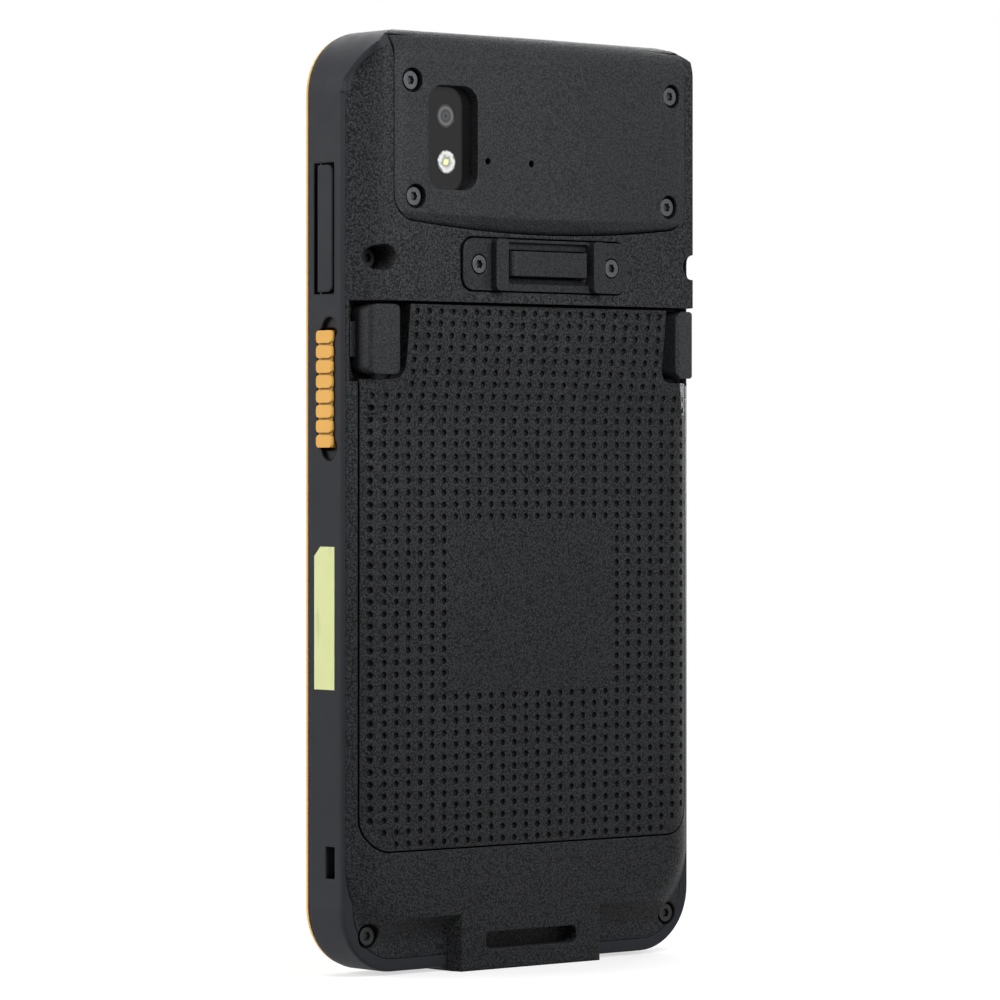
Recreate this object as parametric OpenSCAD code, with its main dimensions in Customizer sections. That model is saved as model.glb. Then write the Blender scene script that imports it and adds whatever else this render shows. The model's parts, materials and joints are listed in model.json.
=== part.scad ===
// Rugged hand-held data terminal with a tilting battery pack, side triggers and a card door.
// It stands on its foot: +Z runs up its length, the screen faces -Y and the back faces +Y.
// A depth is measured from the front plane towards the back.

/* [Overall] */
// Width across the side frame
body_w = 79.4; // [78.6:0.1:81]
// Height from the foot to the top end
body_l = 160; // [158:0.5:164]
// Corner radius of the outline
corner_r = 11; // [10:0.25:11.5]
// Depth of the side band, from the front plane to the ridge
band_depth = 9.75; // [9.7:0.05:10.2]
// Rise of the back from the ridge to the battery cover
back_rise = 3.2; // [3.1:0.05:3.6]
// Rise from the battery cover to the head
head_rise = 3.5; // [3.4:0.1:4.2]
// Extra crown of the head cover over the head
crown_rise = 0.95; // [0.85:0.05:1.05]
// Length of the neck, from the head cover down to the head's step
neck_l = 13.5; // [13.2:0.1:15]
// Rise of the strap bracket over the head
bracket_rise = 1.75; // [1.6:0.05:2]
// Drop of the foot below the side frame
foot_drop = 0.6; // [0.4:0.1:1]
// Width of the foot
foot_w = 34; // [32:0.5:36]
// Chamfer of the foot's edges
foot_chamfer = 0.5; // [0.3:0.05:0.6]

/* [Back surface] */
// Slope of the shoulders beside the battery cover
shoulder_angle = 36.5; // [34:0.5:39]
// Radius between the shoulders and the flat back
shoulder_r = 8; // [6:0.5:9]
// Margin between the head's plateau and the side of the body
plateau_margin = 4.4; // [4.2:0.1:4.8]
// Radius of the side frame's back edge
ridge_r = 1.2; // [0.8:0.1:1.4]
// Crown radius of the head
head_crown_r = 1150; // [900:50:1400]
// Crown radius of the head cover
cover_crown_r = 480; // [440:10:500]
// Slope of the head cover's sides
cover_side_angle = 10; // [9:0.25:11]
// Rounding of the top end
top_round_r = 5.7; // [5:0.1:6.2]
// Distance from the top end to where the ridge starts to climb
tip_margin = 9.6; // [9:0.1:10.5]
// Climb of the ridge round the top corners
tip_slope = 0.7; // [0.6:0.02:0.76]
// Radius of the shoulders' turn round the bottom corners
turn_r = 15.7; // [14:0.1:17]
// Height of the lower edge of that turn
turn_low = 3.5; // [3:0.1:4]
// Height at which the bottom scoops start
scoop_top = 9.8; // [9:0.1:11]
// Height below which the scoops are level
scoop_level = 5; // [4:0.25:5.5]
// Half width of the rib between the scoops
scoop_half = 15.8; // [15:0.1:16.2]
// Draft of that rib's flanks
scoop_draft = 20; // [10:1:25]

/* [Front] */
// Width of the orange lip round the glass
lip_w = 1.3; // [1.1:0.1:1.4]
// Thickness of the orange lip
lip_t = 0.65; // [0.6:0.05:0.75]
// Thickness of the touch glass
glass_t = 0.8; // [0.7:0.05:0.8]
// Recess of the glass below the lip
glass_recess = 0.25; // [0.2:0.05:0.3]
// Margin between the display panel and the side of the body
display_margin = 7.2; // [6.6:0.1:8.4]
// Height of the display panel's lower edge
display_low = 16.5; // [15:0.5:18]
// Margin between the display panel and the top end
display_top_margin = 14.5; // [13:0.5:16]
// Thickness of the display panel
display_t = 1.8; // [1.6:0.1:1.9]

/* [Side frame] */
// Wall of the side frame
frame_wall = 2.2; // [2:0.1:2.3]
// Play between the side frame and the tub inside it
tub_play = 0.1; // [0.05:0.05:0.15]
// Wall of the top cap behind the band
cap_wall = 1.2; // [1:0.1:1.4]
// Length of each scan trigger
trigger_l = 20.1; // [19:0.1:20.5]
// Width of each scan trigger
trigger_w = 4; // [3.8:0.1:4.2]
// Distance of the triggers' middle below the head's step
trigger_drop = 14.85; // [14.5:0.05:15.5]
// Number of ribs on a trigger
trigger_ribs = 8; // [6:1:10]
// How far the triggers stand proud
trigger_proud = 0.6; // [0.5:0.05:0.8]
// Travel of the triggers
trigger_travel = 0.8; // [0.6:0.05:0.9]
// Middle depth of the triggers and keys
key_depth = 5.7; // [5.5:0.05:5.8]
// Width of the power and volume keys
key_w = 2.6; // [2.2:0.1:3]
// Travel of the power and volume keys
key_travel = 0.4; // [0.3:0.05:0.5]
// How far those keys stand proud
key_proud = 0.4; // [0.3:0.05:0.5]
// Distance from the head's step up to the power key
power_rise = 12.8; // [12:0.1:13]
// Length of the power key
power_l = 7; // [6:0.1:7.2]
// Distance from the power key to the lower volume key
power_gap = 2.1; // [1.9:0.05:2.3]
// Length of the volume keys
volume_l = 5.4; // [5:0.1:5.5]
// Distance from one volume key to the other
volume_gap = 1.6; // [1.5:0.05:1.8]
// Height of the lanyard slot's lower end
lanyard_z = 16.7; // [16:0.1:18]
// Length of the lanyard slot
lanyard_l = 5.4; // [5:0.1:6]
// Width of the lanyard slot
lanyard_w = 2.4; // [2.2:0.1:2.8]
// Length of the side label
label_l = 24.1; // [20:0.1:26]
// Width of the side label
label_w = 5.3; // [4.5:0.1:5.6]

/* [Card door] */
// Length of the card door
door_l = 21.4; // [20:0.1:21.6]
// Distance from the head's step up to the card door
door_rise = 1.5; // [1.3:0.1:2]
// Depth of the hinge pin
door_pin_depth = 3.75; // [3.7:0.05:3.9]
// Distance from the pin to the free edge
door_reach = 3.75; // [3.6:0.05:3.9]
// How far the door stands proud
door_proud = 0.25; // [0.15:0.05:0.3]
// Corner radius of the door's free edge
door_corner_r = 1.2; // [0.8:0.1:1.4]
// Radius of the door's hinge barrel
door_barrel_r = 0.7; // [0.65:0.05:0.7]
// Radius of the hinge pin
door_pin_r = 0.35; // [0.3:0.05:0.4]
// Radial play of the pin in the barrel
pin_play = 0.05; // [0.03:0.01:0.08]

/* [Battery pack] */
// Margin between the cover and the side of the body
cover_margin = 2.5; // [2.4:0.05:2.6]
// Height of the cover's lower edge
cover_z = 21.3; // [21:0.1:22]
// Thickness of the cover
cover_t = 1.65; // [1.5:0.05:1.8]
// Gap round the cover
cover_gap = 0.3; // [0.25:0.05:0.4]
// Corner radius at the cover's lower end
cover_r = 5.5; // [4.5:0.25:6]
// Length of the ramp at the cover's top
ramp_l = 18.5; // [17:0.25:19]
// Rise of that ramp
ramp_rise = 2.55; // [2.3:0.05:2.7]
// Curve radius of that ramp
ramp_r = 170; // [150:5:200]
// Margin between the cover and the side of the body beside the latches
neck_margin = 10.4; // [10:0.1:10.8]
// Margin between the battery case and the side of the body
case_margin = 6.5; // [6.4:0.1:7.2]
// Thickness of the battery case
case_t = 5.1; // [4.9:0.05:5.3]
// Wall of the battery case
case_wall = 1.2; // [1:0.05:1.3]
// Play round the battery case
case_play = 0.3; // [0.25:0.05:0.35]
// Number of dimple columns
dimple_cols = 28; // [24:2:28]
// Number of dimple rows
dimple_rows = 45; // [40:1:45]
// Sideways pitch of the dimples
dimple_pitch_x = 2.643; // [2.5:0.001:2.65]
// Lengthwise pitch of the dimples
dimple_pitch_z = 2.043; // [1.95:0.001:2.045]
// Diameter of a dimple
dimple_d = 1.1; // [0.9:0.05:1.3]
// Depth of a dimple
dimple_depth = 0.5; // [0.3:0.05:0.6]
// Columns and rows left out of the middle of the dimples
blank_count = 14; // [8:2:18]

/* [Latches] */
// Width of a latch
latch_w = 5.5; // [5.2:0.1:5.7]
// Length of a latch
latch_l = 11.8; // [11:0.1:12]
// Travel of a latch
latch_travel = 1; // [0.8:0.05:1]
// Height of a latch's inner edge over the back plane
latch_rise = 2.85; // [2.5:0.05:3]
// Height of a latch's outer edge over the back plane
latch_low = 1.35; // [1.2:0.05:1.6]
// Depth of the latch pockets' floor
pocket_depth = 9; // [8.9:0.05:9.1]
// Wall of the side frame beside the latch pockets
pocket_wall = 1.05; // [0.95:0.05:1.2]

/* [Head] */
// Margin between the head cover and the side of the body
head_cover_margin = 6.4; // [6.2:0.1:7]
// Sag of the head cover's lower edge
head_cover_sag = 1.6; // [1.2:0.1:2]
// Distance from the top end to the sides of that edge
head_cover_l = 32.5; // [32:0.1:33]
// Depth of the seat under the head cover
seat_depth = 14.4; // [14.2:0.05:14.5]
// Seam round the head cover
seam = 0.15; // [0.1:0.05:0.2]
// Width of the camera window
window_w = 10.6; // [10:0.1:11]
// Length of the camera window
window_l = 17.7; // [16.5:0.1:18]
// Width of the scan window in the top end
scan_w = 25.4; // [22:0.2:27]
// Depth of the scan window, front to back
scan_d = 4.8; // [4.4:0.1:5]
// Radius of the wells round the screws
well_r = 2.1; // [2:0.05:2.2]
// Radius of the deep wells in the shoulders
shoulder_well_r = 2.2; // [2.1:0.05:2.3]
// Radius of the screw heads
screw_r = 1.52; // [1.4:0.02:1.6]
// Length of the strap bracket
bracket_w = 38; // [37.4:0.1:39]
// Width of the strap bracket
bracket_h = 9.4; // [9:0.1:9.6]
// Distance from the head's step up to the bracket's middle
bracket_up = 6.5; // [6.2:0.1:6.6]

/* [Hidden] */
$fn = 48;
fine = 720;
cut = 1;
overlap = 0.01;

half_w = body_w / 2;
back_depth = band_depth + back_rise;
head_depth = back_depth + head_rise;
full_depth = head_depth + crown_rise;
bracket_back = head_depth + bracket_rise;
front_y = -bracket_back / 2;
head_z = body_l - head_cover_l - neck_l;

// Front stack
bezel_inset = 0.15;
lip_inset = 0.3;
bezel_back = 1.45;
ledge_back = 2.2;
ledge_in = 4.2;
glass_inset = lip_inset + lip_w + 0.15;
glass_back = glass_recess + glass_t;
display_back = glass_back + display_t;
midframe_front = display_back + 0.1;
midframe_t = 1.1;
midframe_inset = 5;
tub_front = midframe_front + midframe_t + 0.1;
tub_inset = frame_wall + tub_play;

// Earpiece slot, front camera and status lens in the glass
ear_z = body_l - 8.2;
ear_w = 14;
ear_h = 1.4;
eye_x = 14;
eye_r = 1.6;
led_x = -12;
led_r = 0.7;

// Ridge: the frame's back edge is rounded where band and shoulder meet
ridge_turn = ridge_r * tan((90 - shoulder_angle) / 2);
frame_back = band_depth + ridge_turn * sin(shoulder_angle);

// Shoulder: a line up from the ridge, then an arc into the flat back
shoulder_x = half_w - back_rise / tan(shoulder_angle);
arc_x = shoulder_x - shoulder_r * tan(shoulder_angle / 2);
arc_end = [arc_x + shoulder_r * sin(shoulder_angle),
           back_depth - shoulder_r * (1 - cos(shoulder_angle))];

// Cove: leaves the ridge along the shoulder's line and ends on the plateau's edge
plateau_half = half_w - plateau_margin;
plateau_drop = head_crown_r - sqrt(pow(head_crown_r, 2) - pow(plateau_half, 2));
cove_dx = -plateau_margin;
cove_dy = head_depth - plateau_drop - band_depth;
cove_r = (pow(cove_dx, 2) + pow(cove_dy, 2))
    / (2 * (cove_dx * sin(shoulder_angle) + cove_dy * cos(shoulder_angle)));
cove_centre = [half_w + cove_r * sin(shoulder_angle), band_depth + cove_r * cos(shoulder_angle)];

// Turn of the shoulders round the bottom corners, and the scoops between them
turn_x = half_w - turn_r;
turn_z = turn_low + turn_r;
scoop_floor = band_depth + 0.2;
scoop_drop = back_depth - scoop_floor;
scoop_r = (pow(scoop_drop, 2) + pow(scoop_top - scoop_level, 2)) / (2 * scoop_drop);

// Round top end, and the ridge that climbs its corners
round_lift = 0.02;
tip_z = body_l - tip_margin;

// Triggers and keys
trigger_z = head_z - trigger_drop;
power_z = head_z + power_rise;
volume_z = power_z + power_l + power_gap;
volume_step = volume_l + volume_gap;
trigger_flange = 0.35;
flange_t = 0.6;
flange_out = half_w - frame_wall - 0.3;
switch_t = 1;
cavity_in = flange_out - flange_t - trigger_travel - 0.3 - switch_t;
cavity_play = 0.7;
key_play = 0.3;
rib_gap = 0.35;
rib_step = 0.4;
grip_r = 2.1;
grip_depth = 0.8;
grip_shift = 0.9;
power_key_at = [power_z, power_l];
volume_down_at = [volume_z, volume_l];
volume_up_at = [volume_z + volume_step, volume_l];
keys = [power_key_at, volume_down_at, volume_up_at];

// Card door and the slot behind it
door_axis_x = half_w - door_barrel_r;
door_in = door_axis_x - 0.55;
door_play = 0.35;
door_z = head_z + door_rise;
door_floor = door_axis_x - door_barrel_r - 0.3;
door_top = door_z + door_l;
slot_front = 4.2;
slot_back = 6.9;
slot_margin = 1.7;
socket_in = 16;
board_half = half_w - 7.9;

// Battery pack
case_w = 2 * (half_w - case_margin);
case_front = back_depth - cover_t - case_t;
case_back = back_depth - cover_t;
case_z = cover_z + 1.9;
cover_top = head_z - 0.5;
case_top = cover_top - 0.7;
bay_floor = case_front - 0.55;
bay_half = case_w / 2 + case_play;
rim_in = back_depth - 2.25;
cover_half = half_w - cover_margin;
notch_z = head_z - 13.2;
notch_r = 2.5;
ramp_z = cover_top - ramp_l;
ramp_chord = sqrt(pow(ramp_l, 2) + pow(ramp_rise, 2));
ramp_reach = sqrt(pow(ramp_r, 2) - pow(ramp_chord / 2, 2));
ramp_centre = [back_depth + ramp_rise / 2 - ramp_reach * ramp_l / ramp_chord,
               (ramp_z + cover_top) / 2 + ramp_reach * ramp_rise / ramp_chord];
cell_top = case_top - 15.3;
neck_half = half_w - neck_margin;
shelf_x = neck_half - 0.3;
tab_x = 20;
tab_w = 8;
tab_t = 1.3;
tab_drop = 3.8;
tab_front = case_front + 2;
contact_z = cell_top - 5.5;
contact_pitch = 3;
pack_board_w = 34;

// Latches
latch_play = 1.3;
latch_in = neck_half + latch_travel + latch_play;
latch_out = latch_in + latch_w;
latch_z = head_z - 0.6 - latch_l;
latch_mid = latch_z + latch_l / 2;
latch_floor = pocket_depth + 0.3;
pocket_half = half_w - pocket_wall;
tongue_in = latch_in - 3.8;
tongue_h = 5;
nose_play = 0.4;
spring_r = 1;
spring_l = 2.6;

// Head
head_corner_r = 4.5;
head_edge_z = body_l - head_cover_l;
head_cover_half = half_w - head_cover_margin;
arc_half = head_cover_half - head_corner_r;
cover_side_depth = head_depth - head_crown_r + sqrt(pow(head_crown_r, 2) - pow(head_cover_half, 2));
edge_r = (pow(arc_half, 2) + pow(head_cover_sag, 2)) / (2 * head_cover_sag);
edge_mid_z = head_edge_z - head_cover_sag + edge_r;
lip_front = 13.2;
bevel_h = 2.6;
bevel_drop = 1.85;
cavity_half = half_w - 13.9;
cavity_z = head_edge_z + 1.9;
cavity_top = body_l - 3.2;
cavity_r = 3;
seal_gap = 0.8;
seal_w = 1;
seal_t = 0.4;
window_x = half_w - 18.6;
window_z = body_l - 18.3;
window_t = 0.6;
lens_z = body_l - 14.5;
flash_z = body_l - 22.3;
lens_r = 2;
mic_r = 0.6;
mic_spots = [[window_x - 7.5, body_l - 22], [window_x - 17.2, body_l - 22.1]];
scan_mid = 10.3;
cover_screw_spots = [[head_cover_half - 3.6, body_l - 8.9], [head_cover_half - 4.3, body_l - 28.4]];
shoulder_spot = [half_w - 4.6, head_z + 7.2];
bottom_spot = [half_w - 5.4, 7];
bottom_floor = scoop_floor - 0.75;

// Strap bracket: a plate, two walls and a bridge between them
bracket_z = head_z + bracket_up;
bracket_floor = 13.1;
bracket_low = bracket_z - bracket_h / 2 + 0.3;
bracket_high = bracket_z + bracket_h / 2 - 0.3;
plate_back = head_depth + 0.25;
rail_back = head_depth - 0.5;
bracket_head_h = 1.1;
bracket_seat = plate_back - bracket_head_h + 0.05;
bracket_shank = bracket_seat - bracket_floor + 3;
bracket_screw_x = bracket_w / 2 - 3.85;
strap_slot_w = 20.8;
strap_slot_h = 3;
strap_slot_z = 3.5;
strap_slot_floor = 9.9;

shank_r = screw_r * 0.55;
shoulder_seat = 10;
shoulder_shank = 2.6;
cover_seat = seat_depth + 0.6;
cover_shank = 5;
bottom_shank = 4;

// Boards and the parts on them
board_t = 0.8;
board_front = 6.2;
board_z = head_z + 3;
board_top = body_l - 4;
bay_back = 8.6;
bottom_bay_half = half_w - 10.7;
bottom_bay_z = 4.4;
bottom_bay_top = 18.4;
bottom_bay_back = 9;
usb_w = 9;
usb_h = 3.2;
usb_mid = 6.9;
usb_wall = 0.3;
pad_r = 0.8;
pad_spots = [-12.2, -9.4, 9.4, 12.2];
speaker_x = 21.5;
vent_r = 0.5;
vent_pitch = 2;

// ---------- helpers ----------

// Extrudes an outline drawn in X and Z from one depth to another
module slab(d0, d1) {
    translate([0, front_y + d1, 0])
        rotate([90, 0, 0])
            linear_extrude(height = d1 - d0)
                children();
}

// Extrudes a section drawn in X and depth from one height to another
module column(z0, z1) {
    translate([0, front_y, z0])
        linear_extrude(height = z1 - z0)
            children();
}

// Extrudes a section drawn in depth and Z from one X to another
module across(x0, x1) {
    translate([x0, front_y, 0])
        rotate([90, 0, 90])
            linear_extrude(height = x1 - x0)
                children();
}

// A block given by its limits in X, depth and Z
module block(x0, x1, d0, d1, z0, z1) {
    translate([x0, front_y + d0, z0])
        cube([x1 - x0, d1 - d0, z1 - z0]);
}

// A round bar along the depth
module bar(x, z, d0, d1, r) {
    translate([x, front_y + d0, z])
        rotate([-90, 0, 0])
            cylinder(r = r, h = d1 - d0);
}

module both_sides() {
    children();
    mirror([1, 0, 0])
        children();
}

// Rounded rectangle, centred on X
module rounded(w, z0, z1, r) {
    translate([-w / 2 + r, z0])
        square([w - 2 * r, z1 - z0]);
    translate([-w / 2, z0 + r])
        square([w, z1 - z0 - 2 * r]);
    for (side = [-1, 1], z = [z0 + r, z1 - r])
        translate([side * (w / 2 - r), z])
            circle(r = r);
}

// Slot with round ends, centred on X
module racetrack(w, z0, z1) {
    r = (z1 - z0) / 2;
    translate([-w / 2 + r, z0])
        square([w - 2 * r, z1 - z0]);
    for (side = [-1, 1])
        translate([side * (w / 2 - r), z0 + r])
            circle(r = r);
}

// Rounded rectangle from corner to corner
module pad(a0, a1, b0, b1, r) {
    translate([(a0 + a1) / 2, 0])
        rounded(a1 - a0, b0, b1, r);
}

module outline(inset) {
    rounded(body_w - 2 * inset, foot_drop + inset, body_l - inset, corner_r - inset);
}

module foot_outline() {
    toe = foot_w / 2 - foot_chamfer;
    polygon([[-toe, 0], [toe, 0], [foot_w / 2, foot_chamfer], [foot_w / 2, foot_drop + frame_wall],
             [-foot_w / 2, foot_drop + frame_wall], [-foot_w / 2, foot_chamfer]]);
}

module ring(outer, inner) {
    difference() {
        outline(outer);
        outline(inner);
    }
}

// Sweeps a section (X from the corner's centre, depth) down one side, round the bottom and up again
module swept() {
    reach_x = half_w - corner_r;
    low_z = foot_drop + corner_r;
    both_sides() {
        translate([reach_x, front_y, low_z])
            rotate([-90, 0, 0])
                rotate_extrude(angle = 90)
                    children();
        translate([reach_x, front_y, low_z])
            linear_extrude(height = body_l - corner_r - low_z)
                children();
    }
    translate([-reach_x, front_y, low_z])
        rotate([0, 90, 0])
            linear_extrude(height = 2 * reach_x)
                children();
}

// ---------- outer form of the back ----------

module shoulder_corner() {
    translate([arc_x, back_depth - shoulder_r])
        intersection() {
            circle(r = shoulder_r, $fn = 144);
            polygon([[0, 0], arc_end - [arc_x, back_depth - shoulder_r],
                     [shoulder_x - arc_x, shoulder_r], [0, shoulder_r]]);
        }
}

// Section of the back beside the battery
module shoulder_section() {
    polygon([[-half_w, 0], [half_w, 0], [half_w, band_depth], arc_end,
             [arc_x, back_depth - shoulder_r], [arc_x, back_depth],
             [-arc_x, back_depth], [-arc_x, back_depth - shoulder_r],
             [-arc_end[0], arc_end[1]], [-half_w, band_depth]]);
    shoulder_corner();
    mirror([1, 0])
        shoulder_corner();
}

module crown_section() {
    intersection() {
        translate([-half_w, 0])
            square([body_w, full_depth]);
        translate([0, head_depth - head_crown_r])
            circle(r = head_crown_r, $fn = fine);
    }
}

// Section of the head, with its two coves
module head_section() {
    difference() {
        crown_section();
        for (side = [-1, 1])
            translate([side * cove_centre[0], cove_centre[1]])
                circle(r = cove_r, $fn = 180);
    }
}

// What the bottom scoops take away on the right
module scoop() {
    intersection() {
        across(0, half_w + cut) {
            intersection() {
                translate([scoop_floor + scoop_r, scoop_level])
                    circle(r = scoop_r, $fn = 144);
                translate([scoop_floor, scoop_level])
                    square([scoop_r, scoop_r]);
            }
            translate([scoop_floor, -cut])
                square([scoop_r, scoop_level + cut + overlap]);
        }
        translate([scoop_half, front_y + back_depth, -2 * cut])
            rotate([0, 0, scoop_draft])
                translate([0, -half_w, 0])
                    cube([body_w, body_w, body_w]);
    }
}

// What the rounding of the top end takes away from a crowned back
module top_rounding(crown_r, depth) {
    turn = 2 * asin((half_w + cut) / (crown_r - full_depth));
    translate([0, front_y + depth - crown_r, 0])
        rotate([0, 0, 90 - turn / 2])
            rotate_extrude(angle = turn, $fn = fine)
                difference() {
                    translate([crown_r - top_round_r, body_l - top_round_r])
                        square(top_round_r + 2 * cut);
                    translate([crown_r - top_round_r + round_lift, body_l - top_round_r + round_lift])
                        circle(r = top_round_r);
                }
}

// The head from a given depth to its back
module head_form(front) {
    difference() {
        intersection() {
            slab(front, full_depth)
                outline(0);
            union() {
                column(head_z, body_l + cut)
                    head_section();
                intersection() {
                    column(tip_z, body_l + cut)
                        crown_section();
                    across(-half_w, half_w)
                        polygon([[0, tip_z], [band_depth, tip_z],
                                 [band_depth + tip_slope * (tip_margin + 2 * cut), body_l + 2 * cut],
                                 [0, body_l + 2 * cut]]);
                }
            }
        }
        top_rounding(head_crown_r, head_depth);
    }
}

// One bottom corner of the back: the shoulder turns round it
module turned_shoulder() {
    translate([turn_x, front_y, turn_z])
        rotate([-90, 0, 0])
            rotate_extrude(angle = 90)
                intersection() {
                    translate([-turn_x, 0])
                        shoulder_section();
                    translate([0, tub_front])
                        square([half_w, full_depth]);
                }
}

// The back from the foot to the head's step
module lower_form() {
    intersection() {
        slab(tub_front, full_depth) {
            outline(0);
            foot_outline();
        }
        union() {
            column(turn_z, head_z)
                shoulder_section();
            block(-turn_x, turn_x, tub_front, back_depth, -cut, turn_z);
            both_sides()
                turned_shoulder();
        }
    }
}

// The part of a ring round the top end
module top_ring(wall) {
    intersection() {
        ring(0, wall);
        translate([-half_w, body_l - corner_r])
            square([body_w, corner_r + cut]);
    }
}

// ---------- battery cover outline ----------

module cover_outline() {
    intersection() {
        rounded(2 * cover_half, cover_z, head_z + cover_r, cover_r);
        translate([-cover_half, 0])
            square([2 * cover_half, notch_z]);
    }
    translate([-neck_half, cover_z + cover_r])
        square([2 * neck_half, cover_top - cover_z - cover_r]);
    for (side = [-1, 1])
        difference() {
            translate([side * (neck_half + notch_r / 2), notch_z + notch_r / 2])
                square(notch_r, center = true);
            translate([side * (neck_half + notch_r), notch_z + notch_r])
                circle(r = notch_r);
        }
}

module bay_mouth() {
    intersection() {
        rounded(2 * (cover_half + cover_gap), cover_z - cover_gap,
                head_z + 2 * cover_r, cover_r + cover_gap);
        translate([-half_w, 0])
            square([body_w, head_z]);
    }
}

module latch_pocket() {
    block(neck_half - 1, pocket_half, pocket_depth, full_depth, notch_z - 0.4, head_z);
}

// Cuts that the scan window, the head cover and the card door share
module scan_opening(play) {
    slab(scan_mid - scan_d / 2 - play, scan_mid + scan_d / 2 + play)
        translate([-scan_w / 2 - play, cavity_top - cut])
            square([scan_w + 2 * play, body_l - cavity_top + 2 * cut]);
}

module head_cover_outline(play) {
    rounded(2 * (head_cover_half + play), head_edge_z - play, body_l + 3 * head_corner_r,
            head_corner_r + play);
    intersection() {
        translate([0, edge_mid_z])
            circle(r = edge_r + play, $fn = fine);
        translate([-arc_half, head_edge_z - 2 * head_cover_sag])
            square([2 * arc_half, 2 * head_cover_sag + head_corner_r]);
    }
}

module head_cover_room(play) {
    slab(seat_depth, full_depth + cut)
        head_cover_outline(play);
    block(-head_cover_half - play, head_cover_half + play, lip_front, seat_depth + cut,
          body_l - cap_wall, body_l + cut);
}

// Screw with a six-pointed recess
module screw(x, z, seat, head_h, shank_l) {
    difference() {
        bar(x, z, seat, seat + head_h, screw_r);
        translate([x, 0, z])
            slab(seat + head_h / 3, seat + head_h + cut)
                for (turn = [0, 60, 120])
                    rotate(turn)
                        square([screw_r, screw_r * 0.36], center = true);
    }
    bar(x, z, seat - shank_l, seat, shank_r);
}

module screw_hole(x, z, seat, shank_l, room_r) {
    bar(x, z, seat, full_depth + cut, room_r);
    bar(x, z, seat - shank_l, seat + cut, shank_r);
}

// ---------- front ----------

module accent_ring() {
    color("orange")
        slab(0, lip_t)
            ring(lip_inset, lip_inset + lip_w);
}

module front_bezel() {
    color("dimgray") {
        slab(lip_t, bezel_back) {
            ring(bezel_inset, glass_inset - 0.1);
            intersection() {
                foot_outline();
                translate([-half_w, 0])
                    square([body_w, foot_drop + bezel_inset + 0.5]);
            }
        }
        slab(glass_back, bezel_back)
            ring(bezel_inset, ledge_in);
        slab(bezel_back, ledge_back)
            ring(tub_inset, ledge_in);
    }
}

module touch_glass() {
    color("black")
        difference() {
            slab(glass_recess, glass_back)
                outline(glass_inset);
            slab(0, glass_back + cut)
                racetrack(ear_w, ear_z, ear_z + ear_h);
            bar(eye_x, ear_z + ear_h / 2, 0, glass_back + cut, eye_r);
            bar(led_x, ear_z + ear_h / 2, 0, glass_back + cut, led_r);
        }
}

module earpiece_mesh() {
    color("gray")
        slab(glass_recess + 0.2, glass_back)
            racetrack(ear_w, ear_z, ear_z + ear_h);
}

module front_camera() {
    color("black") {
        bar(eye_x, ear_z + ear_h / 2, glass_recess, glass_back, eye_r);
        bar(eye_x, ear_z + ear_h / 2, glass_back, midframe_front, eye_r + 0.8);
    }
}

module status_lens() {
    color("lightgreen")
        bar(led_x, ear_z + ear_h / 2, glass_recess, glass_back, led_r);
}

module earpiece() {
    color("silver")
        slab(glass_back, midframe_front)
            rounded(ear_w - 2, ear_z - 1.4, ear_z + 2, 0.8);
}

module display_panel() {
    color("darkslategray")
        slab(glass_back, display_back)
            rounded(2 * (half_w - display_margin), display_low, body_l - display_top_margin, 2);
}

module midframe() {
    color("silver")
        slab(midframe_front, midframe_front + midframe_t)
            outline(midframe_inset);
}

// ---------- side frame ----------

// Section of the band, with its rounded back edge
module band_section() {
    inner = corner_r - frame_wall;
    edge = [corner_r - ridge_r, band_depth - ridge_turn];
    translate([inner, bezel_back])
        square([frame_wall, edge[1] - bezel_back]);
    polygon([[inner, edge[1] - overlap], [edge[0], edge[1] - overlap], edge,
             [edge[0] + ridge_r * sin(shoulder_angle), frame_back], [inner, frame_back]]);
    intersection() {
        translate(edge)
            circle(r = ridge_r);
        polygon([edge, edge + [ridge_r, 0], [corner_r, band_depth],
                 edge + ridge_r * [sin(shoulder_angle), cos(shoulder_angle)]]);
    }
}

module trigger_opening(play) {
    across(half_w - corner_r, half_w + corner_r)
        pad(key_depth - trigger_w / 2 - play, key_depth + trigger_w / 2 + play,
            trigger_z - trigger_l / 2 - play, trigger_z + trigger_l / 2 + play, 1.2 + play);
}

module finger_scoops() {
    for (end = [-1, 1])
        translate([half_w - grip_depth, front_y + key_depth + grip_shift,
                   trigger_z + end * trigger_l / 2])
            rotate([0, 90, 0])
                cylinder(r = grip_r, h = grip_depth + cut);
}

module key_opening(z, l, play) {
    across(half_w - corner_r, half_w + corner_r)
        pad(key_depth - key_w / 2 - play, key_depth + key_w / 2 + play,
            z - play, z + l + play, key_w / 2.2);
}

module lanyard_opening() {
    block(half_w - 3.7, half_w + cut, band_depth - 1.75 - lanyard_w, band_depth - 1.75,
          lanyard_z, lanyard_z + lanyard_l);
}

module door_opening() {
    block(door_floor, half_w + cut, door_pin_depth - door_barrel_r - door_proud - 0.3,
          door_pin_depth + door_reach + door_play, door_z - door_play, door_top + door_play);
    block(board_half - cut, half_w, slot_front, slot_back,
          door_z + slot_margin, door_top - slot_margin);
}

module door_pin_hole() {
    translate([door_axis_x, front_y + door_pin_depth, door_z - 1.2])
        cylinder(r = door_pin_r, h = door_l + 2.4);
}

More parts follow.
